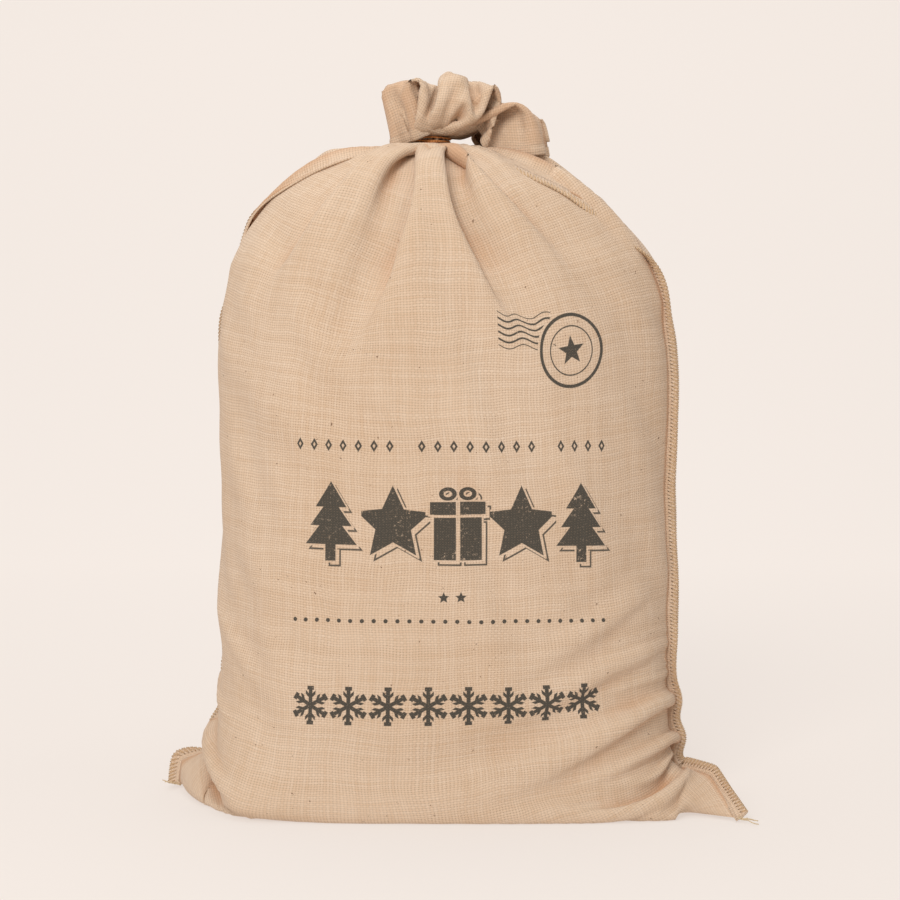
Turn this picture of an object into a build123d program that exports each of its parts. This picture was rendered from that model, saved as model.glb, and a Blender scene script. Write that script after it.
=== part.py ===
from build123d import *
import os

# A stuffed hessian gift sack with a tied neck: two cloth panels sewn into a flat bag,
# filled, and cinched with twine. Millimetres, +Z up. The sack stands on z = 0 and its
# printed front faces -Y. Its cloth is drawn as closed solids, thicker than the woven cloth.

# Overall sack
SACK_HALF_WIDTH = 215
SACK_HALF_DEPTH = 110
FOOT_HALF_WIDTH = 196
FOOT_HALF_DEPTH = 92
SHOULDER_Z = 462
CROWN_Z = 612
CROWN_RADIUS = 27
SEAM_YAW = -5  # the side seams sit a little turned from the sack's oval
FOOT_YAW = -14  # the bottom seam and its two corners are turned further

# Cloth and clearances
CLOTH = 3.0
FOOT_CLOTH = 5.0
GAP = 0.5

# Neck, tie and ruffle
NECK_X = -18.5
NECK_RADIUS = 21
NECK_WAIST_RADIUS = 19.5
NECK_BASE_Z = CROWN_Z + 2
NECK_TOP_Z = 633
TWINE_RADIUS = 1.1
TWINE_TURNS = 4
TWINE_PITCH = 2.5
TIE_LOW_Z = 618.5
KNOT_LENGTH = 9
KNOT_RADIUS = 3.4
TAIL_LENGTH = 20
RUFFLE_X = -6
RUFFLE_HALF_WIDTH = 80
RUFFLE_HALF_DEPTH = 56
RUFFLE_BASE_Z = NECK_TOP_Z + 2
RUFFLE_TOP_Z = 694
HEM_LOW_Z = 666
HEM_HEIGHT = 18
HEM_CLOTH = 2.4

# Seams
SEAM_WIDTH = 9
SEAM_THICKNESS = 3
THREAD_BAND = 1.5
SEAM_LOW_Z = 72
SEAM_END_FROM_NECK = 42
FOOT_SEAM_LENGTH = 330
FOOT_SEAM_WIDTH = 22
FOOT_GROOVE_MARGIN = 1

# Bottom corners, which lie on the floor beyond the stuffed part
CORNER_ROOT_X = 209
CORNER_TIP_X = 273
CORNER_ROOT_HALF_DEPTH = 46
CORNER_ROOT_HEIGHT = 42
CORNER_TIP_HALF_DEPTH = 6
CORNER_TIP_HEIGHT = 7
CORNER_SEAM_START = 12
CORNER_SEAM_HEIGHT = 7
TAIL_TIP_X = 284
THREAD_RADIUS = 1.2

# The sack's oval cross-sections: height, centre x, half width, half depth
SECTIONS = [
    (0, 0, FOOT_HALF_WIDTH, FOOT_HALF_DEPTH),
    (5, 0, 202, 97),
    (16, 0, 208, 103),
    (45, 0, 212, 108),
    (160, 0, 212, SACK_HALF_DEPTH),
    (320, 0, 213, SACK_HALF_DEPTH),
    (430, 0, SACK_HALF_WIDTH, 109),
    (SHOULDER_Z, -1, 214, 107),
    (492, -3, 208, 103),
    (518, -6, 199, 97),
    (542, -9, 188, 90),
    (564, -13, 172, 81),
    (580, -15, 155, 72),
    (592, -17, 134, 62),
    (601, NECK_X, 108, 51),
    (608, NECK_X, 78, 39),
    (CROWN_Z, NECK_X, 52, CROWN_RADIUS),
]


def oval(z, centre_x, half_width, half_depth):
    """One elliptical section."""
    return Plane((centre_x, 0, z)) * Ellipse(half_width, half_depth)


def sack_body(inset=0.0, low_z=0.0, high_z=CROWN_Z):
    """The stuffed sack's outer shape, drawn in by inset, between two heights."""
    sections = []
    for z, centre_x, half_width, half_depth in SECTIONS:
        level = low_z + (high_z - low_z) * z / CROWN_Z
        sections.append(oval(level, centre_x, half_width - inset, half_depth - inset))
    return loft(sections, ruled=True)


def side_of_seam(front):
    """A block that holds everything on one side of the plane through the two side seams."""
    size = 800
    centre_y = -size / 2 if front else size / 2
    return Rot(0, 0, SEAM_YAW) * Pos(0, centre_y, size / 2 - 10) * Box(size, size, size)


def foot_strip(length, width, low_z, high_z):
    """A flat strip along the bottom seam."""
    height = high_z - low_z
    return Rot(0, 0, FOOT_YAW) * Pos(0, 0, low_z + height / 2) * Box(length, width, height)


def make_panels():
    """The front and back cloth panels of the stuffed part, with a groove below for the bottom seam."""
    shell = sack_body() - sack_body(CLOTH, FOOT_CLOTH, CROWN_Z - CLOTH)
    groove = foot_strip(
        FOOT_SEAM_LENGTH + 2 * FOOT_GROOVE_MARGIN,
        FOOT_SEAM_WIDTH + 2 * FOOT_GROOVE_MARGIN,
        -1,
        SEAM_THICKNESS + GAP,
    )
    shell = shell - groove
    return shell & side_of_seam(True), shell & side_of_seam(False)


def make_filling():
    """The wadding that holds the sack in shape."""
    return sack_body(CLOTH + GAP, FOOT_CLOTH + GAP, CROWN_Z - CLOTH - GAP)


def seam_outline(side, outset):
    """Points up one side of the sack, outset from its profile."""
    points = []
    for z, centre_x, half_width, _ in SECTIONS:
        if z >= SEAM_LOW_Z:
            lift = max(0.0, (z - SHOULDER_Z) / (CROWN_Z - SHOULDER_Z))
            x = centre_x + side * (half_width + outset * (1 - 0.8 * lift))
            points.append((x, z + outset * lift))
    return points


def seam_plate(side, inner, outer, thickness):
    """A thin plate beside the sack between two offsets of its profile, in the plane of the side seams."""
    low_x = side * 212
    inner_points = [(low_x + side * inner, SEAM_LOW_Z)] + seam_outline(side, inner)
    outer_points = [(low_x + side * outer, SEAM_LOW_Z)] + seam_outline(side, outer)
    inner_edge = Polyline(*inner_points)
    outer_edge = Polyline(*outer_points)
    ends = [Line(inner_edge @ 0, outer_edge @ 0), Line(inner_edge @ 1, outer_edge @ 1)]
    face = make_face([inner_edge, outer_edge, *ends])
    plate = extrude(Plane.XZ * face, thickness / 2, both=True)
    clear_of_neck = Pos(NECK_X, 0, CROWN_Z) * Cylinder(SEAM_END_FROM_NECK, 80)
    return Rot(0, 0, SEAM_YAW) * (plate - clear_of_neck)


def make_side_seam(side, body_with_gap):
    """The sewn edges of both panels, standing out along one side."""
    return seam_plate(side, -20, SEAM_WIDTH, SEAM_THICKNESS) - body_with_gap


def make_side_thread(side):
    """The overlock thread along a side seam's edge."""
    return seam_plate(side, SEAM_WIDTH + GAP, SEAM_WIDTH + GAP + THREAD_BAND, THREAD_BAND)


def make_bottom_seam():
    """The bottom seam, folded flat under the sack, and its overlock thread beside it."""
    band = THREAD_BAND + GAP
    seam = foot_strip(FOOT_SEAM_LENGTH, FOOT_SEAM_WIDTH - 2 * band, 0, SEAM_THICKNESS)
    offset = FOOT_SEAM_WIDTH / 2 - THREAD_BAND / 2
    thread = Rot(0, 0, FOOT_YAW) * (
        Pos(0, -offset, THREAD_BAND / 2) * Box(FOOT_SEAM_LENGTH, THREAD_BAND, THREAD_BAND)
    )
    return seam, thread


def at_corner(shape, side):
    """Put a shape made for the +X corner at its place on one side of the sack."""
    placed = shape if side > 0 else mirror(shape, Plane.YZ)
    return Rot(0, 0, FOOT_YAW) * placed


def corner_section(x, half_depth, height):
    """A low arch standing on the floor, across a bottom corner."""
    arch = Plane.YZ * make_face(
        [
            Line((-half_depth, 0), (half_depth, 0)),
            ThreePointArc((half_depth, 0), (0, height), (-half_depth, 0)),
        ]
    )
    return Pos(x, 0, 0) * arch


def make_corner(side):
    """One empty bottom corner of the bag, flattened towards its tip."""
    root = corner_section(CORNER_ROOT_X, CORNER_ROOT_HALF_DEPTH, CORNER_ROOT_HEIGHT)
    tip = corner_section(CORNER_TIP_X, CORNER_TIP_HALF_DEPTH, CORNER_TIP_HEIGHT)
    return at_corner(loft([root, tip]), side)


def make_corner_seam(side):
    """The side seam's last stretch, standing on a corner's ridge."""
    slope = (CORNER_ROOT_HEIGHT - CORNER_TIP_HEIGHT) / (CORNER_TIP_X - CORNER_ROOT_X)
    start_x = CORNER_ROOT_X + CORNER_SEAM_START
    end_x = CORNER_TIP_X - 2
    start_z = CORNER_ROOT_HEIGHT - slope * CORNER_SEAM_START + GAP
    end_z = CORNER_TIP_HEIGHT + slope * 2 + GAP
    outline = Polyline(
        (start_x, start_z),
        (end_x, end_z),
        (end_x, end_z + CORNER_SEAM_HEIGHT),
        (start_x + 4, start_z + CORNER_SEAM_HEIGHT),
        close=True,
    )
    plate = extrude(Plane.XZ * make_face(outline), SEAM_THICKNESS / 2, both=True)
    return at_corner(plate, side)


def make_thread_tail(side):
    """The loose end of the seam thread beyond a corner's tip."""
    length = TAIL_TIP_X - CORNER_TIP_X - GAP
    middle = Pos(CORNER_TIP_X + GAP + length / 2, 0, THREAD_RADIUS)
    return at_corner(middle * Rot(0, 90, 0) * Cylinder(THREAD_RADIUS, length), side)


def make_neck_gather():
    """The pleated cloth that the twine holds, waisted where the twine lies."""
    waist_low = TIE_LOW_Z - 2 * TWINE_RADIUS
    waist_high = TIE_LOW_Z + TWINE_TURNS * TWINE_PITCH + 2 * TWINE_RADIUS
    profile = Polyline(
        (0, NECK_BASE_Z),
        (5, NECK_BASE_Z),
        (NECK_WAIST_RADIUS, waist_low),
        (NECK_WAIST_RADIUS, waist_high),
        (NECK_RADIUS, NECK_TOP_Z - 1),
        (NECK_RADIUS - 1, NECK_TOP_Z),
        (0, NECK_TOP_Z),
        close=True,
    )
    return Pos(NECK_X, 0, 0) * revolve(Plane.XZ * make_face(profile), Axis.Z)


def make_neck_tie():
    """The twine wound round the neck."""
    radius = NECK_WAIST_RADIUS + TWINE_RADIUS + GAP
    path = Helix(TWINE_PITCH, TWINE_TURNS * TWINE_PITCH, radius, center=(0, 0, TIE_LOW_Z))
    start = Plane(path @ 0, z_dir=path % 0)
    turns = sweep(start * Circle(TWINE_RADIUS), path, is_frenet=True)
    return Pos(NECK_X, 0, 0) * Rot(0, 0, 90) * turns


def make_tie_knot():
    """The knot at the back of the neck."""
    knot_y = NECK_WAIST_RADIUS + 2 * TWINE_RADIUS + 2 * GAP + KNOT_RADIUS
    knot_z = TIE_LOW_Z + TWINE_TURNS * TWINE_PITCH / 2
    barrel = Rot(0, 90, 0) * Cylinder(KNOT_RADIUS, KNOT_LENGTH)
    rounded = fillet(barrel.edges(), 2.4)
    return Pos(NECK_X, knot_y, knot_z) * rounded


def make_tie_tails():
    """The twine's two cut ends, left and right of the knot."""
    knot_y = NECK_WAIST_RADIUS + 2 * TWINE_RADIUS + 2 * GAP + KNOT_RADIUS
    knot_z = TIE_LOW_Z + TWINE_TURNS * TWINE_PITCH / 2
    tails = []
    for side in (-1, 1):
        start = KNOT_LENGTH / 2 + GAP
        tail = Pos(side * (start + TAIL_LENGTH / 2), 0, 0) * Rot(0, 90, 0)
        tails.append(tail * Cylinder(TWINE_RADIUS, TAIL_LENGTH))
    return Pos(NECK_X, knot_y + 1, knot_z) * Compound(tails)


def ruffle_body():
    """The gathered mouth above the tie, as one flared and closed shape."""
    half_width, half_depth = RUFFLE_HALF_WIDTH, RUFFLE_HALF_DEPTH
    sections = [
        oval(RUFFLE_BASE_Z, NECK_X, 4, 4),
        oval(643, NECK_X, 24, 20),
        oval(654, -12, 56, 40),
        oval(665, RUFFLE_X, half_width - 3, half_depth - 3),
        oval(676, RUFFLE_X, half_width, half_depth),
        oval(687, RUFFLE_X, half_width - 14, half_depth - 11),
        oval(RUFFLE_TOP_Z, RUFFLE_X, 38, 26),
    ]
    return loft(sections, ruled=True)


def half_space(front):
    """A block over the front or back half of the ruffle, short of the middle by half a gap."""
    size = 400
    offset = size / 2 + GAP / 2
    return Pos(0, -offset if front else offset, RUFFLE_TOP_Z) * Box(size, size, size)


def rim(inner, outer, low_z, height):
    """A band round the ruffle's widest part, between two outsets."""
    half_width, half_depth = RUFFLE_HALF_WIDTH, RUFFLE_HALF_DEPTH
    ring = Ellipse(half_width + outer, half_depth + outer) - Ellipse(
        half_width + inner, half_depth + inner
    )
    return extrude(Plane((RUFFLE_X, 0, low_z)) * ring, height)


def build():
    """Every sub-part by its name."""
    parts = {}
    parts["front_panel"], parts["back_panel"] = make_panels()
    parts["filling"] = make_filling()
    body_with_gap = sack_body(-GAP, 0, CROWN_Z + GAP)
    parts["bottom_seam"], parts["bottom_seam_thread"] = make_bottom_seam()
    for name, side in (("left", -1), ("right", 1)):
        parts[name + "_side_seam"] = make_side_seam(side, body_with_gap)
        parts[name + "_seam_thread"] = make_side_thread(side)
        parts[name + "_corner"] = make_corner(side)
        parts[name + "_corner_seam"] = make_corner_seam(side)
        parts[name + "_thread_tail"] = make_thread_tail(side)
    parts["neck_gather"] = make_neck_gather()
    parts["neck_tie"] = make_neck_tie()
    parts["tie_knot"] = make_tie_knot()
    parts["tie_tails"] = make_tie_tails()
    ruffle = ruffle_body()
    hem = rim(GAP, GAP + HEM_CLOTH, HEM_LOW_Z, HEM_HEIGHT)
    for name, front in (("front", True), ("back", False)):
        parts[name + "_ruffle"] = ruffle & half_space(front)
        parts[name + "_hem"] = hem & half_space(front)
    thread_out = 2 * GAP + HEM_CLOTH
    thread = rim(thread_out, thread_out + THREAD_BAND, HEM_LOW_Z + HEM_HEIGHT / 2, THREAD_BAND)
    parts["hem_thread"] = Compound([thread & half_space(True), thread & half_space(False)])
    return parts


os.makedirs("parts", exist_ok=True)
for node, shape in build().items():
    export_step(shape, f"parts/{node}.step")
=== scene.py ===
import math

import bpy
import numpy as np
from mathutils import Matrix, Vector


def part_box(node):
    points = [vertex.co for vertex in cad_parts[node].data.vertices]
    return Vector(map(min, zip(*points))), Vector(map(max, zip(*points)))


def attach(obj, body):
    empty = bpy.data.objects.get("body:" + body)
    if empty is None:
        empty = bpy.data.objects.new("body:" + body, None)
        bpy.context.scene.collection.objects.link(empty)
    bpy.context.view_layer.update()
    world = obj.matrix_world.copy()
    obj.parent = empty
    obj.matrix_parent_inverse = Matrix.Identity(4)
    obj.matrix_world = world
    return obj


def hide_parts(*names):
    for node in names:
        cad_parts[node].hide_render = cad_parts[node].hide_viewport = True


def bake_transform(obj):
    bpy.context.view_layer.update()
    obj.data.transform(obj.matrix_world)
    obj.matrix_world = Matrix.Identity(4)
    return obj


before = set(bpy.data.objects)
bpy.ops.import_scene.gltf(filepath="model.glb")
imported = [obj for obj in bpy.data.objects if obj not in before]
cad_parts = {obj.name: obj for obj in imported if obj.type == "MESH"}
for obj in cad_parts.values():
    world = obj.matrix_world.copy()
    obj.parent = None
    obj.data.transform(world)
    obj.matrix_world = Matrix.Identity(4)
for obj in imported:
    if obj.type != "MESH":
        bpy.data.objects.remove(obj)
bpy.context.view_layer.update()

scene = bpy.context.scene

# ---- camera
EYE_DISTANCE = 1.6
EYE_HEIGHT = 0.426
AIM_HEIGHT = 0.331
LENS_MM = 67.4
SENSOR_MM = 36.0

camera_data = bpy.data.cameras.new("camera")
camera_data.lens = LENS_MM
camera_data.sensor_width = SENSOR_MM
camera_data.dof.use_dof = False
camera = bpy.data.objects.new("camera", camera_data)
camera.location = (0.0, -EYE_DISTANCE, EYE_HEIGHT)
gaze = Vector((0.0, 0.0, AIM_HEIGHT)) - camera.location
camera.rotation_euler = gaze.to_track_quat("-Z", "Y").to_euler()
scene.collection.objects.link(camera)
scene.camera = camera

# ---- the cloth's cut, and where its tie is
tie_low, tie_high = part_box("neck_tie")
tie_middle = (tie_low + tie_high) / 2

PANEL_WIDTH = 0.53
BODY_LENGTH = 0.80
MOUTH_LENGTH = 0.125
MOUTH_EASE = 0.82
# the middle turns of the twine lie this far above its lowest point
TIE_RISE = 0.0026
NECK = np.array([round(float(tie_middle[0]), 4), round(float(tie_middle[1]), 4),
                 round(float(tie_low[2]) + TIE_RISE, 4)])
NECK_RADIUS = 0.017
PLEATS = 17
LOBES = 5
# another seed gives another set of creases
SEED = 5
LEFT_TIP = np.array([-0.265, 0.016, 0.005])
RIGHT_TIP = np.array([0.262, -0.102, 0.004])
FLOOR_GAP = 0.0006

# the filling: height, centre x, centre y, half width, half depth, yaw in degrees, squareness
FILLING = np.array([
    (0.003, -0.006, -0.006, 0.198, 0.100, 3.0, 5.0),
    (0.010, -0.006, -0.004, 0.208, 0.108, 3.0, 5.0),
    (0.022, -0.006, -0.003, 0.213, 0.109, 3.0, 4.2),
    (0.050, -0.006, -0.001, 0.215, 0.107, 2.0, 3.2),
    (0.100, -0.006, 0.000, 0.213, 0.105, 1.0, 2.6),
    (0.160, -0.005, 0.000, 0.213, 0.104, 0.0, 2.3),
    (0.300, -0.005, 0.000, 0.212, 0.105, 0.0, 2.2),
    (0.430, -0.005, 0.000, 0.213, 0.106, 0.0, 2.2),
    (0.470, -0.005, 0.000, 0.210, 0.107, 0.0, 2.2),
    (0.505, -0.006, 0.001, 0.201, 0.106, 0.0, 2.1),
    (0.540, -0.009, 0.003, 0.181, 0.101, 0.0, 2.0),
    (0.567, -0.013, 0.005, 0.156, 0.094, 0.0, 2.0),
    (0.587, -0.018, 0.008, 0.127, 0.085, 0.0, 2.0),
    (0.600, -0.021, 0.010, 0.103, 0.073, 0.0, 2.0),
    (0.608, -0.022, 0.011, 0.078, 0.057, 0.0, 2.0),
    (0.612, -0.022, 0.011, 0.048, 0.038, 0.0, 2.0),
])


def filling_at(z):
    return [np.interp(z, FILLING[:, 0], FILLING[:, k]) for k in range(1, 7)]


def push_out(p):
    """Moves points that are inside the filling to its surface."""
    z = p[..., 2]
    cx, cy, a, b, yaw, m = filling_at(z)
    t = np.radians(yaw)
    dx = p[..., 0] - cx
    dy = p[..., 1] - cy
    lx = dx * np.cos(t) + dy * np.sin(t)
    ly = -dx * np.sin(t) + dy * np.cos(t)
    ux = np.abs(lx) / a + 1e-6
    uy = np.abs(ly) / b + 1e-6
    q = (ux ** m + uy ** m) ** (1 / m)
    hit = (q < 1.0) & (z < FILLING[-1, 0]) & (z > FILLING[0, 0])
    if not hit.any():
        return p
    # slope of the shape with height, so that crown points also rise
    eps = 0.002
    _, _, a2, b2, _, _ = filling_at(z + eps)
    q2 = ((np.abs(lx) / a2) ** m + (np.abs(ly) / b2) ** m + 1e-9) ** (1 / m)
    gz = (q2 - q) / eps
    gx = (ux / q) ** (m - 1) / a * np.sign(lx)
    gy = (uy / q) ** (m - 1) / b * np.sign(ly)
    g2 = gx * gx + gy * gy + gz * gz + 1e-9
    f = np.where(hit, 1.0 - q, 0.0)
    f = np.clip(f / g2, 0, 0.012 / np.sqrt(g2))
    mx = gx * f
    my = gy * f
    out = p.copy()
    out[..., 0] += mx * np.cos(t) - my * np.sin(t)
    out[..., 1] += mx * np.sin(t) + my * np.cos(t)
    out[..., 2] += gz * f
    # cloth under the sack stays under it
    below = hit & (z < 0.012) & (q < 0.93)
    out[below] = p[below]
    out[..., 2] = np.where(below, np.maximum(z - 0.004, 0.0), out[..., 2])
    return out


# a cone of air in each empty corner: from, radius, to, radius
CORNER_AIR = (
    (np.array([-0.190, 0.006, 0.027]), 0.030, np.array([-0.252, 0.034, 0.018]), 0.011),
    (np.array([0.185, -0.036, 0.026]), 0.028, np.array([0.236, -0.077, 0.010]), 0.008),
)


def fill_corners(p):
    """Keeps the empty corners from falling flat."""
    for start, r0, end, r1 in CORNER_AIR:
        axis = end - start
        near = (p[..., 2] < 0.09) & ((p[..., 0] - start[0]) * np.sign(start[0]) > -0.03)
        q = p[near]
        t = np.clip(((q - start) @ axis) / (axis @ axis), 0, 1)[:, None]
        off = q - (start + t * axis)
        dist = np.linalg.norm(off, axis=-1, keepdims=True) + 1e-9
        radius = r0 + (r1 - r0) * t
        p[near] = q + np.where(dist < radius, off * (radius / dist - 1) * 0.5, 0)
    return p


# the mouth, as (reach past the tie, radius, height), for a lobe that hangs and one that curls in
HANGING = np.array([
    (0.000, 0.017, 0.000), (0.012, 0.034, 0.003), (0.030, 0.052, 0.016), (0.055, 0.066, 0.046),
    (0.075, 0.078, 0.050), (0.100, 0.090, 0.018), (0.125, 0.084, -0.026),
])
CURLED = np.array([
    (0.000, 0.017, 0.000), (0.012, 0.034, 0.002), (0.030, 0.050, 0.012), (0.055, 0.056, 0.036),
    (0.075, 0.044, 0.055), (0.100, 0.022, 0.056), (0.125, 0.012, 0.036),
])


def mouth_shape(p, v, n):
    """Lays the gathered mouth in lobes: those to the sides hang, those in front and behind curl in."""
    crown = v > BODY_LENGTH
    s = v[crown] - BODY_LENGTH
    angle = np.pi + np.pi * np.arange(2 * n) / n
    to_right = np.cos(angle) > 0
    hang = np.clip(1.5 * np.abs(np.cos(angle)) - 0.35 + 0.25 * np.sin(angle) * to_right, 0, 1)
    hang = hang * np.where(to_right, 1.0, 0.72)
    radius = (np.interp(s, HANGING[:, 0], HANGING[:, 1])[:, None] * hang
              + np.interp(s, CURLED[:, 0], CURLED[:, 1])[:, None] * (1 - hang))
    height = (np.interp(s, HANGING[:, 0], HANGING[:, 2])[:, None] * hang
              + np.interp(s, CURLED[:, 0], CURLED[:, 2])[:, None] * (1 - hang))
    phase = LOBES * angle + 0.8 * np.sin(2 * angle + 0.7) + 0.6 * np.sin(angle + 2.0)
    valley = (0.5 - 0.5 * np.cos(phase)) ** 3
    depth = np.interp(s, (0.0, 0.03, 0.06, 0.125), (0.0, 0.55, 0.60, 0.45))[:, None]
    radius = radius * (1.06 - depth * valley[None])
    spread = angle + 0.34 / LOBES * np.sin(phase)
    p[crown, :, 0] = (NECK[0] + radius * np.cos(spread) * np.where(np.cos(spread) > 0, 0.94, 0.76)
                      + np.clip(s, 0, 0.06)[:, None] * 0.38)
    p[crown, :, 1] = radius * np.sin(spread) * 0.80 + 0.10 * s[:, None]
    p[crown, :, 2] = NECK[2] + height * 1.08 - 0.010 * valley[None] * (s[:, None] > 0.02)


def start_shape(n, rows):
    """The bag before it settles, rows up by 2n round: front is columns 0..n, back n..2n."""
    v = np.linspace(0, BODY_LENGTH + MOUTH_LENGTH, rows + 1)
    top = NECK[2]
    keys = [
        # v, z, half width, half depth, centre x, centre y, yaw, lobe depth
        (0.000, 0.002, 0.2655, 0.0005, -0.008, -0.022, -13.6, 0),
        (0.030, 0.022, 0.243, 0.034, -0.006, -0.016, -12.0, 0),
        (0.075, 0.022, 0.226, 0.080, 0.0, -0.005, -10.0, 0),
        (0.120, 0.030, 0.219, 0.108, 0.0, 0.0, -8.0, 0),
        (0.180, 0.085, 0.218, 0.113, 0.0, 0.0, -5.0, 0),
        (0.560, 0.455, 0.219, 0.113, 0.0, 0.0, -5.0, 0),
        (0.620, 0.510, 0.202, 0.108, -0.003, 0.0, -5.0, 0),
        (0.680, 0.560, 0.165, 0.090, -0.009, 0.0, -4.0, 0),
        (0.740, 0.600, 0.105, 0.064, -0.015, 0.0, -3.0, 0.004),
        (0.775, 0.615, 0.045, 0.040, -0.018, 0.0, 0.0, 0.006),
        (BODY_LENGTH, top, NECK_RADIUS, NECK_RADIUS, NECK[0], 0.0, 0.0, 0),
    ]
    k = np.array(keys)
    z, a, b, cx, cy, yaw, lobe = (np.interp(v, k[:, 0], k[:, c]) for c in range(1, 8))
    i = np.arange(2 * n)
    # front runs left to right past -Y, back returns past +Y
    angle = np.pi + np.pi * i / n
    phase = LOBES * angle + 0.9 * np.sin(2 * angle + 0.7) + 0.5 * np.sin(3 * angle + 2.0)
    wave = np.cos(phase)
    p = np.zeros((rows + 1, 2 * n, 3))
    ex = (a[:, None] + lobe[:, None] * wave[None]) * np.cos(angle)[None]
    ey = (b[:, None] + lobe[:, None] * wave[None]) * np.sin(angle)[None]
    t = np.radians(yaw)[:, None]
    p[..., 0] = cx[:, None] + ex * np.cos(t) - ey * np.sin(t)
    p[..., 1] = cy[:, None] + ex * np.sin(t) + ey * np.cos(t)
    p[..., 2] = z[:, None] + lobe[:, None] * 0.25 * wave[None]
    mouth_shape(p, v, n)
    return p


def neck_ring(n):
    """Pleated points of the tied row, and how they sit round the neck."""
    i = np.arange(2 * n)
    angle = np.pi + np.pi * i / n
    wave = 0.5 + 0.5 * np.cos(PLEATS * np.pi * i / n + 0.6 + 0.9 * np.sin(3 * angle))
    radius = NECK_RADIUS * (1 - 0.55 * wave)
    ring = np.zeros((2 * n, 3))
    ring[:, 0] = NECK[0] + radius * np.cos(angle)
    ring[:, 1] = NECK[1] + radius * np.sin(angle)
    ring[:, 2] = NECK[2]
    return ring


def size_of(vectors):
    return np.linalg.norm(vectors, axis=-1, keepdims=True) + 1e-12


def spring(d, rest, strength):
    """How far a thread of length rest draws its ends together, for ends d apart."""
    length = size_of(d)
    return strength * (length - rest) / length * d


def strut(d, rest, strength):
    """Like a spring, but it only pushes: it resists a fold and not a stretch."""
    length = size_of(d)
    return strength * np.minimum((length - rest) / length, 0) * d


# how a level of the drape settles
SHEAR = 0.35
FOLD_SHARE = 0.985
SEAM_STIFFNESS = 4.0
TOP_SPEED = 0.004
OVERSHOOT = 1.6
HUGGING_PASSES = 3
FLOOR_GRIP = 0.6
# the air in the sack's foot pushes harder, up to this far from the bottom seam
FOOT_LENGTH = 0.12
FOOT_PUSH = 3.0


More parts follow.
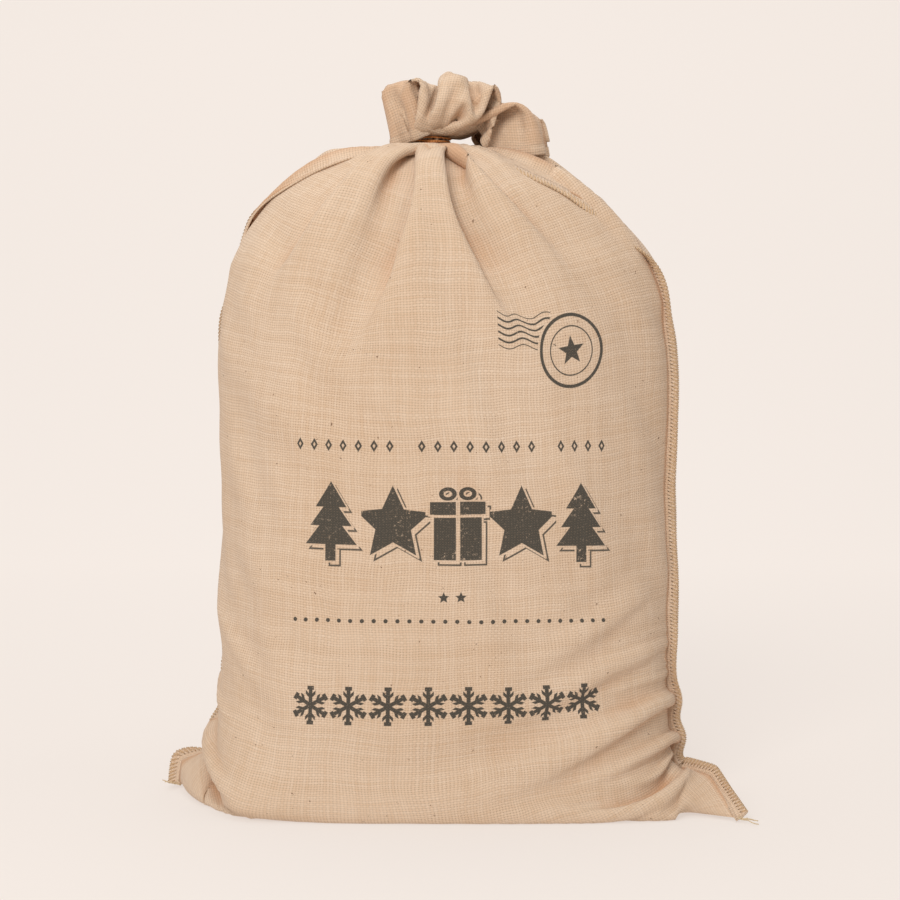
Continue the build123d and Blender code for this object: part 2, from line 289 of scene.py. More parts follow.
def relax(p, n, rows, steps, stiff_bend, gravity, damping, pressure, goal):
    """Lets the cloth settle on the filling and the floor, with its bottom sewn and its neck tied."""
    hu = PANEL_WIDTH / n
    hv = (BODY_LENGTH + MOUTH_LENGTH) / rows
    neck_row = int(round(BODY_LENGTH / hv))
    hd = np.hypot(hu, hv)
    taken_in = np.ones((rows + 1, 1, 1))
    past_tie = np.arange(rows + 1 - neck_row) * hv
    taken_in[neck_row:, 0, 0] = np.interp(past_tie, (0, 0.03), (1.0, MOUTH_EASE))
    prev = p.copy()
    ring = neck_ring(n)
    aim = start_shape(n, rows)[neck_row:]
    fall = np.zeros((rows + 1, 1, 3))
    fall[..., 2] = -gravity
    mirror = (2 * n - np.arange(2 * n)) % (2 * n)
    column_stiffness = np.ones(2 * n)
    column_stiffness[[0, n]] = SEAM_STIFFNESS

    for _ in range(steps):
        vel = (p - prev) * damping
        vel *= np.minimum(1.0, TOP_SPEED / size_of(vel))
        prev = p.copy()
        p = p + vel + fall
        p[neck_row:] += goal * (aim - p[neck_row:])
        # outward push by the filling
        dv = np.zeros_like(p)
        dv[1:-1] = p[2:] - p[:-2]
        normal = np.cross(np.roll(p, -1, 1) - np.roll(p, 1, 1), dv)
        push = normal / size_of(normal) * pressure
        push[neck_row - 2: neck_row + 3] = 0
        push[: int(FOOT_LENGTH / hv)] *= FOOT_PUSH
        p = p + push
        for _ in range(HUGGING_PASSES):
            acc = np.zeros_like(p)
            cnt = np.full(p.shape[:2] + (1,), 1e-9)
            # along a row, which runs on round the bag
            c = spring(np.roll(p, -1, 1) - p, hu * taken_in, 0.5)
            acc += c
            acc -= np.roll(c, 1, 1)
            cnt += 2
            # along a column
            c = spring(p[1:] - p[:-1], hv, 0.5)
            acc[:-1] += c
            acc[1:] -= c
            cnt[:-1] += 1.0
            cnt[1:] += 1.0
            # diagonals
            for shift in (1, -1):
                c = spring(np.roll(p, -shift, 1)[1:] - p[:-1], hd, 0.5 * SHEAR)
                acc[:-1] += c
                acc[1:] -= np.roll(c, shift, 1)
                cnt[:-1] += SHEAR
                cnt[1:] += SHEAR
            # bending, over two cells and over four; a row folds freely at the side seams
            for hop, k in ((2, stiff_bend), (4, stiff_bend * 0.5)):
                w = np.ones(2 * n)
                for column in (0, n):
                    for s in range(1, hop):
                        w[(column - s) % (2 * n)] = 0.0
                rest = hop * hu * FOLD_SHARE * taken_in
                c = strut(np.roll(p, -hop, 1) - p, rest, 0.5 * k * w[None, :, None])
                acc += c
                acc -= np.roll(c, hop, 1)
                cnt += 2 * k
                wv = k * column_stiffness[None, :, None]
                c = strut(p[hop:] - p[:-hop], hop * hv * FOLD_SHARE, 0.5 * wv)
                acc[:-hop] += c
                acc[hop:] -= c
                cnt[:-hop] += wv
                cnt[hop:] += wv
            p = p + OVERSHOOT * acc / cnt
            # sewn bottom
            p[0] = 0.5 * (p[0] + p[0][mirror])
            p[0, 0] = LEFT_TIP
            p[0, n] = RIGHT_TIP
            # tied neck
            p[neck_row] = ring
            for off in (-2, -1, 1, 2):
                r = p[neck_row + off, :, :2] - NECK[:2]
                rr = np.linalg.norm(r, axis=-1, keepdims=True) + 1e-9
                lim = NECK_RADIUS + 0.35 * hv * abs(off)
                p[neck_row + off, :, :2] = NECK[:2] + r / rr * np.minimum(rr, lim)
            # room for the tie: the sack's cloth stays below it and the mouth's above it
            brim = NECK[2] - 0.0050 + 0.012 * np.clip(p[:neck_row, :, 1] / 0.05, 0, 1)
            p[:neck_row, :, 2] = np.minimum(p[:neck_row, :, 2], brim)
            lip = neck_row + 1 + int(0.030 / hv)
            p[neck_row + 1: lip, :, 2] = np.maximum(p[neck_row + 1: lip, :, 2], NECK[2] + 0.0050)
            p = push_out(p)
            p = fill_corners(p)
            # floor, with friction
            under = p[..., 2] < FLOOR_GAP
            p[..., 2] = np.maximum(p[..., 2], FLOOR_GAP)
            gripped = (1 - FLOOR_GRIP) * p[..., :2] + FLOOR_GRIP * prev[..., :2]
            p[..., :2] = np.where(under[..., None], gripped, p[..., :2])
    return p


def refine(p):
    """Twice as many rows and columns."""
    rows, cols = p.shape[:2]
    wide = np.zeros((rows, cols * 2, 3))
    wide[:, ::2] = p
    a, b = p, np.roll(p, -1, 1)
    a0, b0 = np.roll(p, 1, 1), np.roll(p, -2, 1)
    wide[:, 1::2] = (9 * (a + b) - (a0 + b0)) / 16
    tall = np.zeros((rows * 2 - 1, cols * 2, 3))
    tall[::2] = wide
    mid = 0.5 * (wide[1:] + wide[:-1])
    mid[1:-1] = (9 * (wide[1:-2] + wide[2:-1]) - (wide[:-3] + wide[3:])) / 16
    tall[1::2] = mid
    return tall


# left and right corner: how far its fold reaches along both seams, and how much it swells each turn
CORNER_REACH = (0.150, 0.105)
CORNER_PUFF = (0.00016, 0.00005)
SMOOTHING_TURNS = 900
# the lip is let go for the last turns, so that it joins the fold without a crease
LIP_TURNS = 888
DENTS = 22
DENT_SIZE = 0.008
BELLY_START = 0.088
BELLY_ROOM = 0.055
# each empty corner's side seam, from the sack down to the tip
LEFT_EDGE = np.array([(-0.228, 0.034, 0.037), (-0.263, 0.028, 0.027)])
RIGHT_EDGE = np.array([(0.217, -0.034, 0.035), (0.242, -0.060, 0.034)])
# the left corner's lower fold, on the floor from near its tip to the sack's front foot
LEFT_LIP = np.array([(-0.262, 0.006, 0.0020), (-0.247, -0.030, 0.0020), (-0.229, -0.066, 0.0022)])
LIP_SLOPE = (0.080, 0.108)


def along_points(points, t):
    """Points at shares t of the way along a chain of points."""
    size = np.concatenate([[0], np.cumsum(np.linalg.norm(np.diff(points, axis=0), axis=1))])
    return np.stack([np.interp(t * size[-1], size, points[:, k]) for k in range(3)], 1)


def shape_corners(p, n, rows):
    """Smooths each empty corner into a soft hollow fold between the sack and its tip."""
    hu = PANEL_WIDTH / n
    hv = (BODY_LENGTH + MOUTH_LENGTH) / rows
    for column, tip, edge, reach, swell in ((0, LEFT_TIP, LEFT_EDGE, CORNER_REACH[0], CORNER_PUFF[0]),
                                            (n, RIGHT_TIP, RIGHT_EDGE, CORNER_REACH[1], CORNER_PUFF[1])):
        reach_v = int(round(reach / hv))
        reach_u = int(round(reach / hu))
        cols = (column + np.arange(-reach_u - 2, reach_u + 3)) % (2 * n)
        q = p[: reach_v + 3, cols].copy()
        mid = reach_u + 2
        off = np.abs(np.arange(len(cols)) - mid)[None] / reach_u
        up = np.arange(q.shape[0])[:, None] / reach_v
        weight = np.clip((1.0 - off - up) * 6.0, 0, 1)[..., None]
        seam = along_points(np.concatenate([q[reach_v: reach_v + 1, mid], edge[:1], edge[1:], tip[None]]),
                            np.linspace(0, 1, reach_v + 1))[::-1]
        hem = along_points(np.stack([tip, q[0, mid + reach_u]]), np.linspace(0, 1, reach_u + 1))
        lip_t = np.linspace(0.08, 0.74, 50)
        foot_row = int(round(LIP_SLOPE[1] / hv))
        foot_col = min(mid + int(round(LIP_SLOPE[0] / hu)), len(cols) - 1)
        foot = q[foot_row, foot_col]
        lip_points = along_points(np.concatenate([LEFT_LIP, foot[None]]), lip_t)
        lip_rows = np.round(lip_t * LIP_SLOPE[1] / hv).astype(int)
        lip_cols = mid + np.round(lip_t * LIP_SLOPE[0] / hu).astype(int)
        for turn in range(SMOOTHING_TURNS):
            puff = np.zeros_like(q)
            du = q[:, 2:] - q[:, :-2]
            dv = q[2:] - q[:-2]
            normal = np.cross(du[1:-1], dv[:, 1:-1])
            puff[1:-1, 1:-1] = normal / size_of(normal) * swell
            mean = q.copy()
            mean[1:-1, 1:-1] = 0.25 * (q[2:, 1:-1] + q[:-2, 1:-1] + q[1:-1, 2:] + q[1:-1, :-2])
            q = q + weight * (mean + puff - q)
            q[: reach_v + 1, mid] = seam
            for k in range(reach_u + 1):
                q[0, mid + k] = hem[k]
                q[0, mid - k] = hem[k]
            if column == 0 and turn < LIP_TURNS:
                q[lip_rows, lip_cols] = lip_points
            q[..., 2] = np.maximum(q[..., 2], FLOOR_GAP)
        p[: reach_v + 3, cols] = q
    return p


def flatten_belly(p):
    """Takes the sack's depth in where it bulges past its filling."""
    y = np.abs(p[..., 1])
    over = np.maximum(y - BELLY_START, 0)
    soft = np.minimum(y, BELLY_START) + over / (1 + over / BELLY_ROOM)
    p[..., 1] = np.sign(p[..., 1]) * soft
    return p


def crumple(p, n, rows):
    """Shallow dents and swells over the filled part of the sack."""
    rng = np.random.default_rng(SEED + 20)
    u = (np.arange(2 * n) * PANEL_WIDTH / n)[None]
    v = (np.arange(rows + 1) * (BODY_LENGTH + MOUTH_LENGTH) / rows)[:, None]
    rise = np.zeros((rows + 1, 2 * n))
    for _ in range(DENTS):
        turns = rng.integers(4, 26)
        length = rng.uniform(0.05, 0.20)
        size = DENT_SIZE / np.hypot(turns / (2 * PANEL_WIDTH), 1 / length)
        ripple = np.cos(2 * np.pi * (turns * u / (2 * PANEL_WIDTH) + v / length) + rng.uniform(0, 6.28))
        patches = np.cos(2 * np.pi * (rng.integers(1, 4) * u / (2 * PANEL_WIDTH)) + rng.uniform(0, 6.28))
        rise += size * ripple * patches
    rise *= np.interp(v, (0.16, 0.26, 0.62, 0.74), (0, 1, 1, 0))
    du = np.roll(p, -1, 1) - np.roll(p, 1, 1)
    dv = np.gradient(p, axis=0)
    normal = np.cross(du, dv)
    return p + normal / size_of(normal) * rise[..., None]


# the drape's levels, coarse to fine:
# random start, steps, bending stiffness, gravity, damping, pressure, hold on the mouth
LEVELS = (
    (0.0015, 300, 0.06, 2e-5, 0.97, 1.2e-5, 0.02),
    (0.0004, 200, 0.05, 1e-5, 0.96, 4e-6, 0.004),
    (0.0, 70, 0.04, 5e-6, 0.93, 1e-6, 0.001),
)
COARSE_ACROSS = 32
COARSE_ROWS = 56


def drape():
    """The settled bag as rows up by points round, with its cells across a panel and its rows."""
    rng = np.random.default_rng(SEED)
    n, rows = COARSE_ACROSS, COARSE_ROWS
    p = start_shape(n, rows)
    for level, (jitter, *settings) in enumerate(LEVELS):
        if level:
            p = refine(p)
            n, rows = n * 2, rows * 2
        if jitter:
            p[2:] += rng.normal(0, jitter, p[2:].shape)
        p = relax(p, n, rows, *settings)
    p = flatten_belly(p)
    p = shape_corners(p, n, rows)
    p = crumple(p, n, rows)
    return p, n, rows


# ---- where the print sits on the front panel
# places are (across, up) in metres of flat cloth from the panel's lower left corner
STAMP = (0.4115, 0.5350)
STAMP_RINGS = ((0.0312, 0.0015), (0.0214, 0.0006))
WAVES = (0.3683, 0.5581)
SMALL_ROW = (0.1508, 0.4600)
SMALL_PITCH = 0.01403
BIG_ROW = (0.3016, 0.3933)
BIG_PITCH = 0.0567
PAIR = (0.2968, 0.3262)
DOTS = (0.1555, 0.3045)
DOT_PITCH = 0.01041
FLAKES = (0.1722, 0.2278)
FLAKE_PITCH = 0.0348
ROW_BEND = 0.367
ROW_TILT = -0.0399
PRINT_MIDDLE = 0.3016
INK_EDGE = 0.0005
WAVE_LENGTH = 0.0285
WAVE_GAP = 0.0060
ICON_HALF_WIDTH = 0.0245
ICON_HALF_HEIGHT = 0.0345
SHADOW_SHIFT = 0.0042


# ---- node helpers
class Field:
    """A number that varies over a material, built from math nodes."""

    def __init__(self, tree, socket):
        self.tree = tree
        self.socket = socket

    def op(self, name, *others, clamp=False):
        node = self.tree.nodes.new("ShaderNodeMath")
        node.operation = name
        node.use_clamp = clamp
        for k, value in enumerate((self, *others)):
            if isinstance(value, Field):
                self.tree.links.new(value.socket, node.inputs[k])
            else:
                node.inputs[k].default_value = value
        return Field(self.tree, node.outputs[0])

    def __add__(self, o):
        return self.op("ADD", o)

    __radd__ = __add__

    def __sub__(self, o):
        return self.op("SUBTRACT", o)

    def __rsub__(self, o):
        return (self * -1.0) + o

    def __mul__(self, o):
        return self.op("MULTIPLY", o)

    __rmul__ = __mul__

    def __truediv__(self, o):
        return self.op("DIVIDE", o)

    def abs(self):
        return self.op("ABSOLUTE")

    def floor(self):
        return self.op("FLOOR")

    def frac(self):
        return self.op("FRACT")

    def sqrt(self):
        return self.op("SQRT")

    def cos(self):
        return self.op("COSINE")

    def sin(self):
        return self.op("SINE")

    def min(self, o):
        return self.op("MINIMUM", o)

    def max(self, o):
        return self.op("MAXIMUM", o)

    def clamp(self):
        return self.op("MULTIPLY", 1.0, clamp=True)

    def mod(self, o):
        return self.op("FLOORED_MODULO", o)

    def edge(self, soft):
        """1 where the field is below zero, 0 above, with a soft edge."""
        return (0.5 - self / soft).clamp()


def length2(a, b):
    return (a * a + b * b).sqrt()


def box_distance(x, y, half_x, half_y):
    return (x.abs() - half_x).max(y.abs() - half_y)


def noise(tree, vector, scale, detail=2.0, roughness=0.5):
    node = tree.nodes.new("ShaderNodeTexNoise")
    node.inputs["Scale"].default_value = scale
    node.inputs["Detail"].default_value = detail
    node.inputs["Roughness"].default_value = roughness
    tree.links.new(vector, node.inputs["Vector"])
    return Field(tree, node.outputs["Fac"])


def white(tree, value):
    """A fixed random number for each whole value."""
    node = tree.nodes.new("ShaderNodeTexWhiteNoise")
    node.noise_dimensions = "1D"
    tree.links.new(value.socket, node.inputs["W"])
    return Field(tree, node.outputs["Value"])


def combine(tree, x, y, z=None):
    node = tree.nodes.new("ShaderNodeCombineXYZ")
    for k, value in enumerate((x, y, z)):
        if isinstance(value, Field):
            tree.links.new(value.socket, node.inputs[k])
        elif value is not None:
            node.inputs[k].default_value = value
    return node.outputs[0]


def blend_colour(tree, factor, low, high):
    """low where factor is 0, high where it is 1; each is a colour or a socket."""
    node = tree.nodes.new("ShaderNodeMix")
    node.data_type = "RGBA"
    tree.links.new(factor.socket, node.inputs["Factor"])
    for name, value in (("A", low), ("B", high)):
        socket = [s for s in node.inputs if s.name == name and s.type == "RGBA"][0]
        if isinstance(value, tuple):
            socket.default_value = (*value, 1.0)
        else:
            tree.links.new(value, socket)
    return [s for s in node.outputs if s.type == "RGBA"][0]


def shade(tree, colour, factor):
    """The colour made darker or lighter by a factor."""
    node = tree.nodes.new("ShaderNodeVectorMath")
    node.operation = "SCALE"
    tree.links.new(colour, node.inputs[0])
    tree.links.new(factor.socket, node.inputs["Scale"])
    return node.outputs[0]


def srgb(r, g, b):
    def linear(c):
        c /= 255.0
        return c / 12.92 if c <= 0.04045 else ((c + 0.055) / 1.055) ** 2.4

    return (linear(r), linear(g), linear(b))


# ---- materials
WARP_PITCH = 0.00274
WEFT_PITCH = 0.00220
CLOTH_LIGHT = srgb(223, 200, 177)
CLOTH_DARK = srgb(200, 167, 134)
# the shaded inside of the sack seen between the threads, painted as a colour
GAP_SHADE_COLOUR = srgb(160, 116, 76)
# the warm brown of the painted shade in folds and beside the side seams
WARM_SHADE_COLOUR = srgb(188, 128, 76)
SPECK = srgb(96, 60, 34)
INK = srgb(58, 57, 52)


def surface(name):
    """A new material with its node tree and its shader."""
    material = bpy.data.materials.new(name)
    material.use_nodes = True
    tree = material.node_tree
    shader = tree.nodes["Principled BSDF"]
    return material, tree, shader


def uv_fields(tree):
    """The flat cloth's coordinates in metres: the vector, then across and up on their own."""
    uv = tree.nodes.new("ShaderNodeUVMap")
    uv.uv_map = "UVMap"
    split = tree.nodes.new("ShaderNodeSeparateXYZ")
    tree.links.new(uv.outputs[0], split.inputs[0])
    return uv.outputs[0], Field(tree, split.outputs[0]), Field(tree, split.outputs[1])


def weave(tree, uv, u, v):
    """Height and colour of a plain weave, over and under by turns, with painted shade in the gaps between
    the threads and on their lower parts.
    """
    drift_u = noise(tree, uv, 9.0, 2.0) - 0.5
    drift_v = noise(tree, combine(tree, v + 3.1, u + 1.7), 11.0, 2.0) - 0.5
    run = u / WARP_PITCH + drift_u * 7.0
    rise = v / WEFT_PITCH + drift_v * 7.0
    iu = run.floor()
    iv = rise.floor()
    fu = run - iu - 0.5
    fv = rise - iv - 0.5
    odd = (iu + iv).mod(2.0)
    even = 1.0 - odd
    rand_u = white(tree, iu)
    rand_v = white(tree, iv + 517.0)
    slub_u = noise(tree, combine(tree, iu * 7.31, v * 34.0), 1.0, 1.0) - 0.5
    slub_v = noise(tree, combine(tree, u * 30.0, iv * 5.77), 1.0, 1.0) - 0.5
    half_u = 0.38 + (rand_u - 0.5) * 0.08 + slub_u * 0.18
    half_v = 0.46 + (rand_v - 0.5) * 0.10 + slub_v * 0.22
    cover_u = ((half_u - fu.abs()) * 6.0 + 0.5).clamp()
    cover_v = ((half_v - fv.abs()) * 6.0 + 0.5).clamp()
    round_u = 1.0 - fu * fu * 3.2
    round_v = 1.0 - fv * fv * 3.2
    arch_u = 0.56 + (fv * math.pi).cos() * 0.38 * (even * 2.0 - 1.0)
    arch_v = 0.68 + (fu * math.pi).cos() * 0.38 * (odd * 2.0 - 1.0)
    height_u = cover_u * round_u * arch_u
    height_v = cover_v * round_v * arch_v
    height = height_u.max(height_v)
    cover = cover_u.max(cover_v)
    on_top = ((height_u - height_v) * 8.0 + 0.5).clamp()
    tone = on_top * (rand_u - 0.5) + (1.0 - on_top) * (rand_v - 0.5)
    stain = noise(tree, uv, 7.0, 4.0, 0.6)
    fibre = noise(tree, combine(tree, u * 900.0, v * 900.0), 1.0, 3.0, 0.7)
    mix = (0.42 - tone * 0.22 + (stain - 0.5) * 0.7 + (fibre - 0.5) * 0.7
           + (slub_u + slub_v) * 0.4).clamp()
    colour = blend_colour(tree, mix, CLOTH_LIGHT, CLOTH_DARK)
    # painted shade in the gaps between the threads
    colour = blend_colour(tree, (1.0 - cover) * 0.70, colour, GAP_SHADE_COLOUR)
    # painted shade: the lower parts of the threads are darker and the raised parts lighter
    depth = 0.80 + height * 0.26
    colour = shade(tree, colour, depth)
    speck = noise(tree, uv, 210.0, 2.0, 0.6)
    patchy = noise(tree, uv, 23.0, 1.0)
    speck = ((speck - 0.715 + (patchy - 0.5) * 0.14) * 22.0).clamp()
    colour = blend_colour(tree, speck * 0.8, colour, SPECK)
    return height, colour


def fold_shade_field(tree):
    """How much painted shade a fold gets, read from the attribute hollow: 1 at the bottom of a fold, 0 on
    open cloth.
    """
    attribute = tree.nodes.new("ShaderNodeAttribute")
    attribute.attribute_name = "hollow"
    return Field(tree, attribute.outputs["Fac"])


def add_relief(tree, shader, height, strength, distance):
    bump = tree.nodes.new("ShaderNodeBump")
    bump.inputs["Strength"].default_value = strength
    bump.inputs["Distance"].default_value = distance
    tree.links.new(height.socket, bump.inputs["Height"])
    tree.links.new(bump.outputs[0], shader.inputs["Normal"])


def finish_cloth(tree, shader, height, colour):
    """Relief of the threads, and a dry surface with a little sheen."""
    add_relief(tree, shader, height, 0.55, 0.0007)
    tree.links.new(colour, shader.inputs["Base Color"])
    shader.inputs["Roughness"].default_value = 0.92
    shader.inputs["Specular IOR Level"].default_value = 0.15
    shader.inputs["Sheen Weight"].default_value = 0.10
    shader.inputs["Sheen Roughness"].default_value = 0.6


def star(x, y, radius, inner):
    """Distance-like field of a five-pointed star, below zero inside."""
    angle = x.op("ARCTAN2", y) / (2 * math.pi / 5)
    step = (angle - (angle + 0.5).floor()).abs() * (2 * math.pi / 5)
    reach = length2(x, y)
    px = reach * step.cos()
    py = reach * step.sin()
    # the edge from the tip (radius, 0) to the notch
    notch_x = inner * math.cos(math.pi / 5)
    notch_y = inner * math.sin(math.pi / 5)
    nx, ny = notch_y, radius - notch_x
    size = math.hypot(nx, ny)
    return (px - radius) * (nx / size) + py * (ny / size)


def fir(x, y, half_width, half_height):
    """A fir tree of three tiers on a trunk."""
    tiers = None
    for k in range(3):
        base = -half_height * (0.62 - 0.48 * k)
        tall = half_height * (0.86 - 0.10 * k)
        wide = half_width * (1.0 - 0.20 * k)
        tier = (x.abs() - (base + tall - y) * (wide / tall)).max(base - y)
        tiers = tier if tiers is None else tiers.min(tier)
    trunk = box_distance(x, y + half_height * 0.82, half_width * 0.20, half_height * 0.22)
    return tiers.min(trunk)


def gift_box(x, y, half_width, half_height):
    """A box with a band and a bow."""
    body = box_distance(x, y + half_height * 0.30, half_width * 0.86, half_height * 0.68)
    lid = box_distance(x, y - half_height * 0.36, half_width, half_height * 0.16)
    band = box_distance(x, y, half_width * 0.075, half_height * 1.2)
    gap = box_distance(x, y - half_height * 0.155, half_width * 1.2, half_height * 0.035)
    bow_x = x.abs() - half_width * 0.36
    bow_y = y - half_height * 0.72
    bow = length2(bow_x, bow_y * 1.35) - half_width * 0.32
    hole = length2(bow_x, bow_y * 1.35) - half_width * 0.15
    solid = body.min(lid).max(band * -1.0).max(gap * -1.0)
    return solid.min(bow.max(hole * -1.0))


def snowflake(x, y, radius, stroke):
    """Six arms, each with a bar across it."""
    angle = x.op("ARCTAN2", y) / (math.pi / 3)
    step = (angle - (angle + 0.5).floor()).abs() * (math.pi / 3)
    reach = length2(x, y)
    px = reach * step.cos()
    py = reach * step.sin()
    arm = (py - stroke * 0.5).max(px - radius)
    tip = box_distance(px - radius, py, stroke * 0.5, radius * 0.20)
    twig = ((px - py - radius * 0.46).abs() - stroke * 0.5).max(py - radius * 0.30)
    return arm.min(twig).min(tip)


def stamp(u, v):
    """Two rings round a star, with wavy lines running out of them."""
    mx = u - STAMP[0]
    my = v - STAMP[1]
    reach = length2(mx, my)
    parts = [((reach - ring).abs() - half_line).edge(INK_EDGE) for ring, half_line in STAMP_RINGS]
    parts.append(star(mx, my, 0.0135, 0.0056).edge(INK_EDGE))
    wx = u - WAVES[0]
    wy = v - WAVES[1] + (u * (2 * math.pi / WAVE_LENGTH)).sin() * 0.0022 + wx * 0.10
    line = ((wy / WAVE_GAP).frac() - 0.5).abs() * WAVE_GAP - 0.0009
    rows = box_distance(wx, wy, 0.0285, 0.0150)
    # the lines stop in a gap before the outer ring
    clear = 0.0350 - reach
    parts.append(line.max(rows).max(clear.min(reach - 0.0190)).edge(INK_EDGE))
    return parts


def diamonds(u, level):
    """A row of 21 small open diamonds, with two left out so that it falls into three groups."""
    sx = u - SMALL_ROW[0]
    sy = level - SMALL_ROW[1]
    cell = (sx / SMALL_PITCH).floor()
    lx = (sx / SMALL_PITCH - cell - 0.5) * SMALL_PITCH
    diamond = lx.abs() + sy.abs() * 0.62 - 0.0034
    core = lx.abs() + sy.abs() * 0.62 - 0.0013
    shown = box_distance(sx - SMALL_PITCH * 10.5, sy, SMALL_PITCH * 10.5, 0.01)
    shape = diamond.max(core * -1.0).max(shown)
    for left_out in (7.0, 16.0):
        shape = shape.max(((cell - left_out).abs() - 0.5) * -1.0)
    return shape.edge(INK_EDGE)


def icons(x, y):
    """Fir, star, gift box, star, fir."""
    cell = (x / BIG_PITCH + 0.5).floor()
    lx = x - cell * BIG_PITCH
    outer = fir(lx, y, ICON_HALF_WIDTH, ICON_HALF_HEIGHT)
    middle = star(lx, y + 0.002, ICON_HALF_HEIGHT, 0.0165)
    centre = gift_box(lx, y, ICON_HALF_WIDTH, ICON_HALF_HEIGHT)
    shape = outer.max(1.5 - cell.abs())
    shape = shape.min(middle.max((cell.abs() - 1.0).abs() - 0.5))
    shape = shape.min(centre.max(cell.abs() - 0.5))
    return shape.max(x.abs() - BIG_PITCH * 2.5)


def big_row(tree, uv, u, level):
    """The icons' worn ink, and a shadow line below and to the right of each."""
    bx = u - BIG_ROW[0]
    by = level - BIG_ROW[1]
    face = icons(bx, by)
    thrown = icons(bx - SHADOW_SHIFT, by + SHADOW_SHIFT)
    rim = (thrown.abs() - 0.0008).max(0.0017 - face)
    wear = noise(tree, uv, 260.0, 5.0, 0.75)
    worn = ((wear - 0.565) * 14.0).clamp()
    patch = ((noise(tree, uv, 38.0, 2.0) - 0.46) * 5.0).clamp()
    return [face.edge(INK_EDGE) * (1.0 - worn * patch * 0.85), rim.edge(INK_EDGE) * 0.95]


def star_pair(u, v):
    return [star(u - PAIR[0] - side * 0.0075, v - PAIR[1], 0.0052, 0.0024).edge(INK_EDGE)
            for side in (-1, 1)]


def dotted_line(u, level):
    dx = u - DOTS[0]
    dy = level - DOTS[1]
    cell = (dx / DOT_PITCH + 0.5).floor()
    dot = length2(dx - cell * DOT_PITCH, dy) - 0.0019
    shown = box_distance(dx - DOT_PITCH * 13.5, dy, DOT_PITCH * 14.0, 0.01)
    return dot.max(shown).edge(INK_EDGE)


def snowflakes(u, level):
    fx = u - FLAKES[0]
    fy = level - FLAKES[1]
    cell = (fx / FLAKE_PITCH + 0.5).floor()
    flake = snowflake(fx - cell * FLAKE_PITCH, fy, 0.0158, 0.0036)
    shown = box_distance(fx - FLAKE_PITCH * 3.5, fy, FLAKE_PITCH * 4.0, 0.03)
    return flake.max(shown).edge(INK_EDGE)


def print_field(tree, uv, u, v):
    """How much ink lies on each point of the front panel."""
    off = u - PRINT_MIDDLE
    # the rows were printed on flat cloth that has since been pulled, so they bow and lean a little
    level = v + off * off * ROW_BEND - off * ROW_TILT
    parts = [*stamp(u, v), diamonds(u, level), *big_row(tree, uv, u, level), *star_pair(u, v),
             dotted_line(u, level), snowflakes(u, level)]
    ink = parts[0]
    for part in parts[1:]:
        ink = ink.max(part)
    return ink


def cloth_material(name, printed=False, seams=True):
    """Hessian with painted shade, darker and warmer, in its folds, and beside the side seams of a panel
    if it has them.
    """
    material, tree, shader = surface(name)
    uv, u, v = uv_fields(tree)
    height, colour = weave(tree, uv, u, v)
    hollow = fold_shade_field(tree)
    # painted shade: the cloth turns darker and warmer at the bottom of its folds
    painted_shade = (hollow * 0.60).clamp()
    if seams:
        # painted shade beside the side seams, where the cloth turns into the seam's fold
        beside = u.min(PANEL_WIDTH - u)
        painted_shade = painted_shade.max(((0.0075 - beside) / 0.004).clamp() * 0.55)
    colour = blend_colour(tree, painted_shade * 0.75, colour, WARM_SHADE_COLOUR)
    if printed:
        ink = print_field(tree, uv, u, v)
        grip = ((height - 0.18) * 6.0).clamp() * 0.25 + 0.70
        fade = noise(tree, uv, 520.0, 2.0, 0.6)
        grip = grip - ((fade - 0.62) * 5.0).clamp() * 0.5
        colour = blend_colour(tree, (ink * grip).clamp(), colour, INK)
    finish_cloth(tree, shader, height, colour)
    return material


def thread_material(name, colour, shade_and_fuzz_colour, twist):
    """Spun thread: UV runs round it in u and along it in v, in metres."""
    material, tree, shader = surface(name)
    uv, u, v = uv_fields(tree)
    ply = ((v / twist + u) * (2 * math.pi)).sin() * 0.5 + 0.5
    fuzz = noise(tree, combine(tree, u * 9.0, v * 2600.0), 1.0, 2.0, 0.6)
    # painted shade: the colour is darker in the grooves of the twist, with random fuzz tone on top
    mix = (ply * 0.7 + (fuzz - 0.5) * 0.8).clamp()
    tone = blend_colour(tree, mix, shade_and_fuzz_colour, colour)
    tree.links.new(tone, shader.inputs["Base Color"])
    add_relief(tree, shader, ply, 0.6, 0.0003)
    shader.inputs["Roughness"].default_value = 0.85
    return material


def wadding_material():
    """Off-white tissue, with painted shade of creases as darker noise patches."""
    material, tree, shader = surface("wadding")
    place = tree.nodes.new("ShaderNodeTexCoord")
    # painted shade of creases: darker where the noise is high
    crease = noise(tree, place.outputs["Object"], 45.0, 5.0, 0.6)
    tone = blend_colour(tree, crease, srgb(236, 228, 214), srgb(206, 192, 170))
    tree.links.new(tone, shader.inputs["Base Color"])
    shader.inputs["Roughness"].default_value = 0.9
    return material


